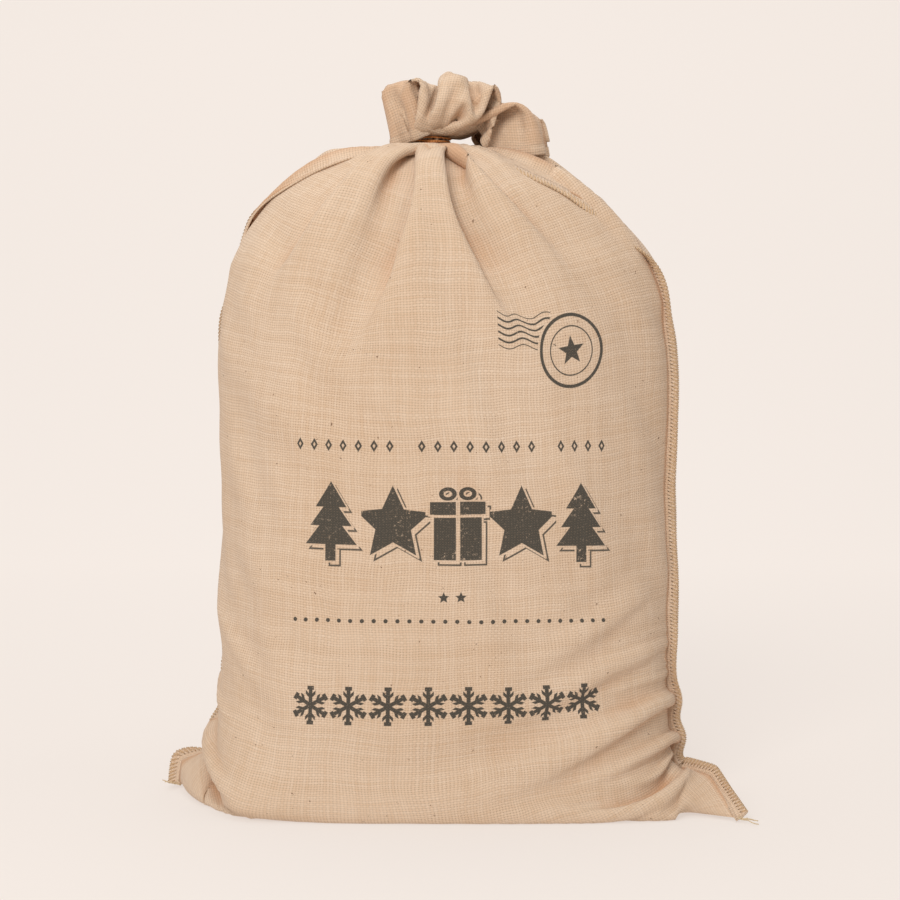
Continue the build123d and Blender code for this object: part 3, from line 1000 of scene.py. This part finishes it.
# ---- meshes
def hand_over(name, points, faces, uvs=None, material=None, normals=None, values=None):
    """A mesh object from arrays; uvs has one pair per point, and values go into the attribute hollow,
    from which the cloth paints shade into its folds.
    """
    mesh = bpy.data.meshes.new(name)
    if not isinstance(faces, list):
        faces = faces.tolist()
    mesh.from_pydata(points.reshape(-1, 3).tolist(), [], faces)
    mesh.polygons.foreach_set("use_smooth", np.ones(len(mesh.polygons), bool))
    if uvs is not None:
        layer = mesh.uv_layers.new(name="UVMap")
        corner = np.zeros(len(mesh.loops), int)
        mesh.loops.foreach_get("vertex_index", corner)
        layer.data.foreach_set("uv", uvs.reshape(-1, 2)[corner].astype(np.float32).ravel())
    if values is not None:
        attribute = mesh.attributes.new("hollow", "FLOAT", "POINT")
        attribute.data.foreach_set("value", values.ravel().astype(np.float32))
    if normals is not None:
        mesh.normals_split_custom_set_from_vertices(normals.reshape(-1, 3).tolist())
    if material:
        mesh.materials.append(material)
    obj = bpy.data.objects.new(name, mesh)
    scene.collection.objects.link(obj)
    return obj


def strip_faces(rows, cols, closed=False):
    index = np.arange(rows * cols).reshape(rows, cols)
    right = np.roll(index, -1, 1) if closed else index[:, 1:]
    here = index if closed else index[:, :-1]
    quads = np.stack([here[:-1], right[:-1], right[1:], here[1:]], -1)
    return quads.reshape(-1, 4)


def end_caps(rows, sides):
    """The two faces that close a tube of rows by sides points."""
    return [list(range(sides))[::-1], [(rows - 1) * sides + k for k in range(sides)]]


def distance_along(path):
    return np.concatenate([[0], np.cumsum(np.linalg.norm(np.diff(path, axis=0), axis=1))])


def keep_used(points, faces, *extras):
    """Drops points that no face uses."""
    used = np.unique(faces)
    new = np.full(len(points), -1)
    new[used] = np.arange(len(used))
    return points[used], new[faces], [e[used] for e in extras]


def unit(vectors):
    return vectors / size_of(vectors)


def thread_piece(name, paths, radius, material, sides=5):
    """Round threads of one radius along paths, which is a list of n x 3 arrays."""
    all_points, all_faces, all_uvs, count = [], [], [], 0
    angle = np.arange(sides) * 2 * np.pi / sides
    for path in paths:
        along = unit(np.gradient(path, axis=0))
        side = np.cross(along, np.array([0.0, 0.0, 1.0]))
        upright = np.linalg.norm(side, axis=1) < 0.2
        side[upright] = np.cross(along[upright], np.array([1.0, 0.0, 0.0]))
        side = unit(side)
        other = np.cross(side, along)
        ring = (side[:, None] * np.cos(angle)[None, :, None]
                + other[:, None] * np.sin(angle)[None, :, None])
        rows = len(path)
        uvs = np.zeros((rows, sides, 2))
        uvs[..., 0] = (np.arange(sides) / sides)[None]
        uvs[..., 1] = distance_along(path)[:, None]
        all_points.append((path[:, None] + ring * radius).reshape(-1, 3))
        all_uvs.append(uvs.reshape(-1, 2))
        faces = strip_faces(rows, sides, closed=True).tolist() + end_caps(rows, sides)
        all_faces += [[i + count for i in face] for face in faces]
        count += rows * sides
    return hand_over(name, np.concatenate(all_points), all_faces, np.concatenate(all_uvs), material)


# ---- the draped cloth, split into its pieces
cloth, across, rows = drape()
around = 2 * across
step_u = PANEL_WIDTH / across
step_v = (BODY_LENGTH + MOUTH_LENGTH) / rows
neck_row = int(round(BODY_LENGTH / step_v))


def smooth_rows(values, times):
    """Evens values out along the rows, in place."""
    for _ in range(times):
        values[1:-1] = 0.25 * values[:-2] + 0.5 * values[1:-1] + 0.25 * values[2:]
    return values


du = np.roll(cloth, -1, 1) - np.roll(cloth, 1, 1)
dv = np.gradient(cloth, axis=0)
cloth_normal = unit(np.cross(du, dv))


def blur(values, times):
    """A copy of values evened out both ways over the cloth."""
    out = values.copy()
    for _ in range(times):
        out = 0.5 * out + 0.25 * (np.roll(out, 1, 1) + np.roll(out, -1, 1))
        padded = np.concatenate([out[:1], out, out[-1:]])
        out = 0.5 * out + 0.25 * (padded[:-2] + padded[2:])
    return out


# 1 at the bottom of a fold and 0 on its ridges: broad folds first, then fine ones; the cloth paints shade
# into its folds from this
bulge = ((blur(cloth, 24) - cloth) * cloth_normal).sum(-1)
hollow = np.clip((blur(bulge[..., None], 3)[..., 0] - 0.0012) / 0.0070, 0, 1)
fine = ((blur(cloth, 5) - cloth) * cloth_normal).sum(-1)
hollow = np.clip(hollow + np.clip((fine - 0.0004) / 0.0022, 0, 1) * 0.5, 0, 1)
hollow[neck_row:] *= 0.6

EAR_REACH = 0.105
EAR_ROWS = int(EAR_REACH / step_v)
EAR_COLS = int(EAR_REACH / step_u)


def ear_faces(column):
    """Which faces of the whole bag belong to the empty corner at a column."""
    r = np.arange(rows)[:, None] + 0.5
    c = np.arange(around)[None] + 0.5
    off = np.abs((c - column + around / 2) % around - around / 2)
    return (r / EAR_ROWS + off / EAR_COLS) < 1.0


left_ear = ear_faces(0)
right_ear = ear_faces(across)
row_id = np.arange(rows)[:, None] * np.ones((1, around))
col_id = np.ones((rows, 1)) * np.arange(around)[None]
below_tie = row_id < neck_row
is_front = col_id < across
between_ears = ~(left_ear | right_ear)

# one extra column, so that the back panel's texture runs on to its far edge
wide = np.concatenate([cloth, cloth[:, :1]], 1)
wide_normal = np.concatenate([cloth_normal, cloth_normal[:, :1]], 1)
wide_hollow = np.concatenate([hollow, hollow[:, :1]], 1)
grid_u = np.arange(around + 1) * step_u
grid_v = np.arange(rows + 1) * step_v
wide_uv = np.zeros((rows + 1, around + 1, 2))
wide_uv[..., 0] = grid_u[None]
wide_uv[..., 1] = grid_v[:, None]
all_faces = strip_faces(rows + 1, around + 1).reshape(rows, around, 4)


def cloth_piece(name, mask, material, back=False):
    """The faces in mask as a piece; a back piece's texture starts at its own panel's edge."""
    faces = all_faces[mask]
    uv = wide_uv.copy()
    if back:
        uv[..., 0] -= PANEL_WIDTH
    points, faces, (uvs, normals, hollows) = keep_used(
        wide.reshape(-1, 3), faces, uv.reshape(-1, 2), wide_normal.reshape(-1, 3),
        wide_hollow.reshape(-1))
    return hand_over(name, points, faces, uvs, material, normals, hollows)


printed_cloth = cloth_material("printed_hessian", printed=True)
plain_cloth = cloth_material("hessian")
edge_cloth = cloth_material("seam_cloth", seams=False)
overlock = thread_material("overlock_thread", srgb(226, 204, 172), srgb(188, 150, 108), 0.0016)
hem_stitch = thread_material("hem_thread", srgb(176, 120, 74), srgb(120, 78, 46), 0.0016)
twine_look = thread_material("tie_twine", srgb(238, 172, 108), srgb(200, 124, 64), 0.0030)
tail_look = thread_material("tail_thread", srgb(236, 220, 192), srgb(200, 174, 134), 0.0016)

front_cloth = cloth_piece("front_cloth", below_tie & is_front & between_ears, printed_cloth)
back_cloth = cloth_piece("back_cloth", below_tie & ~is_front & between_ears, plain_cloth, back=True)
front_mouth = cloth_piece("front_mouth", ~below_tie & is_front, plain_cloth)
back_mouth = cloth_piece("back_mouth", ~below_tie & ~is_front, plain_cloth, back=True)
# an empty corner is the cloth of both panels
left_corner = cloth_piece("left_corner_cloth", left_ear, plain_cloth)
right_corner = cloth_piece("right_corner_cloth", right_ear, plain_cloth)

# ---- seam allowances
HEM_WIDTH = 0.012
HEM_ROWS = int(HEM_WIDTH / step_v)
SEAM_WIDTH = 0.0088
SEAM_THICK = 0.0018
SEAM_SWAY = 0.30
STITCH_PITCH = 0.0034
OVERLOCK_RADIUS = 0.00045
BACKWARDS = np.array([0.0, 1.0, 0.0])
# the seam cloth's texture starts here, away from the panels' own edges
CUT_EDGE_U = 0.05


def lean(count, seed, size):
    """Slow random sway along a seam."""
    rng = np.random.default_rng(seed)
    knots = rng.normal(0, size, count // 7 + 3)
    return np.interp(np.arange(count), np.arange(len(knots)) * 7.0, knots)


def seam_rail(column, seed):
    """Row by row along a side seam: its line, its outward and its face direction, and its sway."""
    line = cloth[:, column].copy()
    line[EAR_ROWS:neck_row - 4] = smooth_rows(line.copy(), 14)[EAR_ROWS:neck_row - 4]
    # the cloth three cells to either side shows which way is outward
    beside = 0.5 * (cloth[:, (column - 3) % around] + cloth[:, (column + 3) % around])
    out = smooth_rows(unit(line - beside), 30)
    along = unit(np.gradient(line, axis=0))
    if column == 0:
        # the left seam is folded back
        folded = np.interp(line[:, 2], (0.05, 0.12), (0.0, 1.0))[:, None]
        out = 0.35 * out + BACKWARDS * folded
    out = out - (out * along).sum(-1, keepdims=True) * along
    out = smooth_rows(unit(out), 12)
    face = unit(np.cross(along, out))
    sway = smooth_rows(lean(rows + 1, seed, SEAM_SWAY)[:, None], 4)
    return line, unit(out), face, sway


def seam_strip(name, column, low, high, seed, share=1.0):
    """Doubled cloth standing out from a side seam between two rows, share of the full width."""
    line, out, face, sway = seam_rail(column, seed)
    span = slice(low, high + 1)
    steps = np.array([-0.5, 0.2, 0.6, 0.88, 1.0])
    half = np.array([0.9, 1.0, 1.0, 0.95, 0.45]) * SEAM_THICK / 2
    rings = []
    for sign, order in ((1, range(len(steps))), (-1, reversed(range(len(steps))))):
        for k in order:
            curl = sway * steps[k] ** 2 * SEAM_WIDTH
            rings.append(line + out * steps[k] * SEAM_WIDTH * share + face * (curl + sign * half[k]))
    points = np.stack(rings, 1)[span]
    faces = strip_faces(*points.shape[:2], closed=True).tolist() + end_caps(*points.shape[:2])
    uvs = np.zeros(points.shape[:2] + (2,))
    uvs[..., 0] = np.concatenate([steps, steps[::-1]])[None] * SEAM_WIDTH + CUT_EDGE_U
    uvs[..., 1] = (np.arange(rows + 1)[span] * step_v)[:, None]
    return hand_over(name, points, faces, uvs, edge_cloth)


# one overlock stitch: reach across the strip, side of it and how far it slants, for each of its points
STITCH_REACH = np.array([0.30, 0.66, 1.02, 1.08, 1.02, 0.66, 0.30, 0.66, 1.02, 1.08, 1.02, 0.66])
STITCH_SIDE = np.array([1.25, 1.25, 0.9, 0.0, -0.9, -1.25, -1.25, -1.25, -0.9, 0.0, 0.9, 1.25])
STITCH_SLANT = np.array([0.9, 0.45, 0, 0, 0, 0.45, 0.9, 0.45, 0, 0, 0, 0.45])


def overlock_path(column, low, high, seed):
    """Chevron stitches over the strip's edge: down one face, round the edge and up the other."""
    line, out, face, sway = seam_rail(column, seed)
    lengths = distance_along(line[low:high + 1])
    count = int(lengths[-1] / STITCH_PITCH)
    push = np.arange(len(STITCH_REACH)) / len(STITCH_REACH)
    s = (np.arange(count)[:, None] + push[None] + STITCH_SLANT[None]).ravel() * STITCH_PITCH
    row = np.interp(np.minimum(s, lengths[-1]), lengths, np.arange(low, high + 1))
    reach = np.tile(STITCH_REACH, count)
    side = np.tile(STITCH_SIDE, count)

    def at(values):
        base = np.clip(np.floor(row).astype(int), 0, rows - 1)
        part = (row - base)[:, None]
        return values[base] * (1 - part) + values[base + 1] * part

    curl = at(sway) * (reach[:, None] ** 2) * SEAM_WIDTH
    return (at(line) + at(out) * reach[:, None] * SEAM_WIDTH
            + at(face) * (curl + side[:, None] * SEAM_THICK / 2))


def overlock_piece(name, column, low, high, seed):
    return thread_piece(name, [overlock_path(column, low, high, seed)], OVERLOCK_RADIUS, overlock)


seams, seam_threads, corner_strips, corner_threads, mouth_seams = [], [], [], [], []
for label, column in (("left", 0), ("right", across)):
    seed = 11 + column
    seams.append(seam_strip(label + "_seam", column, EAR_ROWS, neck_row - 2, seed))
    seam_threads.append(overlock_piece(label + "_overlock", column, EAR_ROWS, neck_row - 3, seed))
    corner_strips.append(seam_strip(label + "_corner_strip", column, 0, EAR_ROWS, seed))
    corner_threads.append(overlock_piece(label + "_corner_overlock", column, 0, EAR_ROWS, seed))
    mouth_seams.append(seam_strip(label + "_mouth_seam", column, neck_row + 3, rows - HEM_ROWS - 1,
                                  seed, share=0.35))

# ---- bottom seam, folded flat under the sack
BOTTOM_HALF_WIDTH = 0.005
BOTTOM_THICK = 0.0007
inner_cols = np.arange(EAR_COLS, across + 1 - EAR_COLS)
foot_line = cloth[0, inner_cols]
foot_line[:, 2] = 0.0
foot_along = unit(np.gradient(foot_line, axis=0))
foot_side = np.cross(np.array([0.0, 0.0, 1.0]), foot_along)
foot_rings = [foot_line + foot_side * sign * BOTTOM_HALF_WIDTH + np.array([0, 0, z])
              for sign, z in ((-1, 0.0), (1, 0.0), (1, BOTTOM_THICK), (-1, BOTTOM_THICK))]
foot_points = np.stack(foot_rings, 1)
foot_uv = np.zeros(foot_points.shape[:2] + (2,))
foot_uv[..., 0] = CUT_EDGE_U + np.array([0.0, 0.01, 0.01, 0.0])[None]
foot_uv[..., 1] = (inner_cols * step_u)[:, None]
foot_faces = strip_faces(*foot_points.shape[:2], closed=True)
bottom_strip = hand_over("bottom_seam_strip", foot_points, foot_faces, foot_uv, edge_cloth)
# its stitches zigzag along the cut edge, four points to a column of cloth
zig_count = np.arange(len(foot_line) * 4)
nearest = np.minimum(zig_count // 4, len(foot_line) - 1)
zig = foot_line[nearest] + foot_side[nearest] * (0.0052 + 0.0012 * (zig_count % 2))[:, None]
zig[:, 2] = 0.0004
bottom_overlock = thread_piece("bottom_overlock", [zig], 0.0004, overlock, 4)

# ---- mouth hem and its stitches
def hem_piece(name, first, last, back):
    """The turned edge: a second layer lying on the mouth's outer face, closed round its edge."""
    cols = np.arange(first, last + 1)
    band = wide[rows - HEM_ROWS:, cols]
    normal = wide_normal[rows - HEM_ROWS:, cols]
    outer = band + normal * 0.0013
    inner = band - normal * 0.0007
    edge = band[-1] + unit(band[-1] - band[-3]) * 0.0012
    start = band[:1] + normal[:1] * 0.0003
    layers = np.concatenate([start, outer, edge[None], inner[::-1]])
    up = np.arange(HEM_ROWS + 1)
    v = np.concatenate([[0], up, [HEM_ROWS + 0.6], up[::-1]]) * step_v
    uv = np.zeros(layers.shape[:2] + (2,))
    uv[..., 0] = (cols * step_u - (PANEL_WIDTH if back else 0))[None]
    uv[..., 1] = v[:, None] + 0.5
    faces = strip_faces(*layers.shape[:2])
    return hand_over(name, layers, faces, uv, edge_cloth)


front_hem = hem_piece("front_hem_fold", 0, across, False)
back_hem = hem_piece("back_hem_fold", across, around, True)
stitches = []
stitch_row = rows - HEM_ROWS + 1
for c in range(0, around, 2):
    up_a, up_b = wide_normal[stitch_row, c], wide_normal[stitch_row, c + 1]
    a = wide[stitch_row, c] + up_a * 0.0017
    b = wide[stitch_row, c + 1] + up_b * 0.0017
    stitches.append(np.array([a - up_a * 0.001, a, 0.5 * (a + b), b, b - up_b * 0.001]))
hem_thread = thread_piece("hem_stitches", stitches, 0.00045, hem_stitch, 4)

# ---- twine
PLY_RADIUS = 0.00062
PLY_OFFSET = 0.00048
TWIST_LENGTH = 0.0042
TIE_TURNS = 4
TIE_POINTS = 420
HALF_TIE_HEIGHT = 0.0042


def twisted(path, seed):
    """Two plies wound round each other along a path."""
    along = unit(np.gradient(path, axis=0))
    side = unit(np.cross(along, np.array([0.0, 0.0, 1.0]) + 1e-3))
    other = np.cross(side, along)
    turn = distance_along(path) / TWIST_LENGTH * 2 * np.pi + seed
    plies = []
    for shift in (0, np.pi):
        around_path = side * np.cos(turn + shift)[:, None] + other * np.sin(turn + shift)[:, None]
        plies.append(path + around_path * PLY_OFFSET)
    return plies


def twine_piece(name, plies):
    return thread_piece(name, plies, PLY_RADIUS, twine_look, 6)


rng = np.random.default_rng(3)
ring_radius = NECK_RADIUS + 0.0012
angle = np.linspace(0, TIE_TURNS * 2 * np.pi, TIE_POINTS) + np.pi / 2
rise = (np.linspace(-HALF_TIE_HEIGHT, HALF_TIE_HEIGHT, TIE_POINTS)
        + 0.0009 * np.sin(angle * 0.5 + 1.0) + 0.0006 * np.sin(angle * 1.7))
knots = np.arange(0, TIE_POINTS + 1, 15)
wobble = np.interp(np.arange(TIE_POINTS), knots, rng.normal(0, 0.0004, len(knots)))
tie_path = np.stack([NECK[0] + (ring_radius + wobble) * np.cos(angle),
                     NECK[1] + (ring_radius + wobble) * np.sin(angle), NECK[2] + rise], 1)
twine_turns = twine_piece("twine_turns", twisted(tie_path, 0.0))
knot_place = np.array([NECK[0], NECK[1] + ring_radius + 0.0035, NECK[2]])
t = np.linspace(0, 2 * np.pi, 90)
knot_path = knot_place + np.stack([0.0036 * (np.sin(t) + 0.8 * np.sin(2 * t)),
                                   0.0022 * np.sin(3 * t),
                                   0.0030 * (np.cos(t) - 0.8 * np.cos(2 * t))], 1)
twine_knot = twine_piece("twine_knot", twisted(knot_path, 1.0))
t = np.linspace(0, 1, 30)
ends = []
for sign in (-1, 1):
    end = np.stack([sign * (0.003 + 0.017 * t), 0.002 + 0.003 * np.sin(2 * t), -0.006 * t * t], 1)
    ends += twisted(knot_place + end, 2.0 + sign)
twine_ends = twine_piece("twine_ends", ends)

# ---- loose thread at the corners' tips
def tail_paths(tip, direction, seed):
    """Seven frayed strands from a tip."""
    rng = np.random.default_rng(seed)
    paths = []
    for _ in range(7):
        t = np.linspace(0, 1, 14)
        size = rng.uniform(0.008, 0.015)
        bend = rng.normal(0, 0.0035, 3)
        bend[2] = abs(bend[2]) * 0.4
        path = tip + direction * t[:, None] * size + bend * (t[:, None] ** 2)
        path = path + 0.0006 * np.sin(t[:, None] * rng.uniform(6, 14) + rng.uniform(0, 6, 3))
        path[:, 2] = np.maximum(path[:, 2], 0.0009)
        paths.append(path)
    return paths


left_out = unit(np.array([-1.0, -0.15, 0.35]))
right_out = unit(np.array([0.8, -0.5, -0.15]))
tails = []
for label, column, direction, seed in (("left", 0, left_out, 5), ("right", across, right_out, 6)):
    tip = cloth[0, column] - direction * 0.003
    tails.append(thread_piece(label + "_tail", tail_paths(tip, direction, seed), 0.0005, tail_look))
left_tail, right_tail = tails

# ---- filling
# it lies inside the shape that holds the cloth, by this much to the sides, and more to front and back
FILL_INSET = 0.022
FILL_DEPTH_SHARE = 0.83
FILL_DEPTH_INSET = 0.012
FILL_LEVELS = 60
FILL_SIDES = 96
levels = np.linspace(0.014, FILLING[-1, 0] - 0.022, FILL_LEVELS)
turns = np.arange(FILL_SIDES) * 2 * np.pi / FILL_SIDES
cx, cy, a, b, yaw, m = filling_at(levels)
yaw = np.radians(yaw)
ct, st = np.cos(turns)[None], np.sin(turns)[None]
power = (2 / m)[:, None]
ex = (a[:, None] - FILL_INSET) * np.sign(ct) * np.abs(ct) ** power
ey = (b[:, None] * FILL_DEPTH_SHARE - FILL_DEPTH_INSET) * np.sign(st) * np.abs(st) ** power
body = np.stack([cx[:, None] + ex * np.cos(yaw)[:, None] - ey * np.sin(yaw)[:, None],
                 cy[:, None] + ex * np.sin(yaw)[:, None] + ey * np.cos(yaw)[:, None],
                 levels[:, None] * np.ones((1, FILL_SIDES))], -1)
rng = np.random.default_rng(9)
body[1:-1, :, :2] *= 1 - np.abs(rng.normal(0, 0.008, body[1:-1, :, :1].shape))
fill_faces = strip_faces(FILL_LEVELS, FILL_SIDES, closed=True).tolist()
fill_faces += end_caps(FILL_LEVELS, FILL_SIDES)
wadding = hand_over("wadding_fill", body, fill_faces, None, wadding_material())

for piece in (front_cloth, back_cloth, *seams, *seam_threads):
    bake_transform(piece)
for piece in (front_mouth, back_mouth, front_hem, back_hem, hem_thread, *mouth_seams):
    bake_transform(piece)
for piece in (left_corner, corner_strips[0], corner_threads[0]):
    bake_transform(piece)
for piece in (right_corner, corner_strips[1], corner_threads[1]):
    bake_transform(piece)
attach(left_tail, "left_ear")
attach(right_tail, "right_ear")
for piece in (twine_turns, twine_knot, twine_ends):
    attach(piece, "collar")
for piece in (wadding, bottom_strip, bottom_overlock):
    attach(piece, "sack")

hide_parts("front_panel", "neck_gather")
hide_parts("back_panel")
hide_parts("front_ruffle")
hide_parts("back_ruffle")
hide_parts("front_hem")
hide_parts("back_hem")
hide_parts("hem_thread")
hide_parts("neck_tie")
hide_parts("tie_knot")
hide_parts("tie_tails")
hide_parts("filling")
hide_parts("bottom_seam")
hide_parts("bottom_seam_thread")
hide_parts("left_corner")
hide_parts("right_corner")
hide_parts("left_thread_tail")
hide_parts("right_thread_tail")
for k, label in enumerate(("left", "right")):
    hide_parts(label + "_side_seam")
    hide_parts(label + "_seam_thread")
    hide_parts(label + "_corner_seam")

slots = {
    "printed_hessian": [front_cloth],
    "hessian": [back_cloth, front_mouth, back_mouth, left_corner, right_corner],
    "seam_cloth": [front_hem, back_hem, bottom_strip, *seams, *corner_strips, *mouth_seams],
    "overlock_thread": [bottom_overlock, *seam_threads, *corner_threads],
    "hem_thread": [hem_thread],
    "tie_twine": [twine_turns, twine_knot, twine_ends],
    "tail_thread": [left_tail, right_tail],
    "wadding": [wadding],
}
for name, group in slots.items():
    for piece in group:
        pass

EAR_AREA = EAR_ROWS * step_v * EAR_COLS * step_u
BODY_AREA = PANEL_WIDTH * BODY_LENGTH - EAR_AREA
for corner in (left_corner, right_corner):
    2 * EAR_COLS * step_u
    EAR_ROWS * step_v

# ---- floor, backdrop and light
FLOOR_COLOUR = srgb(245, 236, 229)
CURVE_START = 1.6
CURVE_RADIUS = 1.2
CURVE_STEPS = 12
profile = [(-3.0, 0.0), (CURVE_START, 0.0)]
for k in range(1, CURVE_STEPS + 1):
    turn = k * math.pi / (2 * CURVE_STEPS)
    profile.append((CURVE_START + CURVE_RADIUS * math.sin(turn), CURVE_RADIUS * (1 - math.cos(turn))))
profile += [(CURVE_START + CURVE_RADIUS, 5.0)]
floor_points = np.array([[[x, y, z] for y, z in profile] for x in (-5.0, 5.0)])
floor_faces = strip_faces(2, len(profile))[:, ::-1]
paper, paper_tree, paper_shader = surface("studio_paper")
paper_shader.inputs["Base Color"].default_value = (0.30, 0.278, 0.262, 1.0)
paper_shader.inputs["Emission Color"].default_value = (*FLOOR_COLOUR, 1.0)
paper_place = paper_tree.nodes.new("ShaderNodeTexCoord")
paper_split = paper_tree.nodes.new("ShaderNodeSeparateXYZ")
paper_tree.links.new(paper_place.outputs["Object"], paper_split.inputs[0])
paper_glow = ((Field(paper_tree, paper_split.outputs[1]) - 0.1) / 1.6).clamp() * 0.10 + 0.63
paper_tree.links.new(paper_glow.socket, paper_shader.inputs["Emission Strength"])
paper_shader.inputs["Roughness"].default_value = 1.0
paper_shader.inputs["Specular IOR Level"].default_value = 0.0
floor = hand_over("studio_floor", floor_points, floor_faces, None, paper)

world = bpy.data.worlds.new("studio")
scene.world = world
world.use_nodes = True
world.node_tree.nodes["Background"].inputs[0].default_value = (1.0, 0.985, 0.97, 1.0)
world.node_tree.nodes["Background"].inputs[1].default_value = 0.45


def area_light(name, place, target, size, power, colour):
    data = bpy.data.lights.new(name, "AREA")
    data.shape = "RECTANGLE"
    data.size, data.size_y = size
    data.energy = power
    data.color = colour
    light = bpy.data.objects.new(name, data)
    light.location = place
    light.rotation_euler = (Vector(target) - Vector(place)).to_track_quat("-Z", "Y").to_euler()
    scene.collection.objects.link(light)


area_light("key", (-0.75, -2.3, 1.75), (0.0, 0.0, 0.35), (1.3, 1.3), 44.0, (1.0, 0.98, 0.95))
area_light("top", (0.1, 0.1, 2.4), (0.0, 0.0, 0.3), (2.2, 1.8), 18.0, (1.0, 0.99, 0.98))
scene.view_settings.view_transform = "Standard"
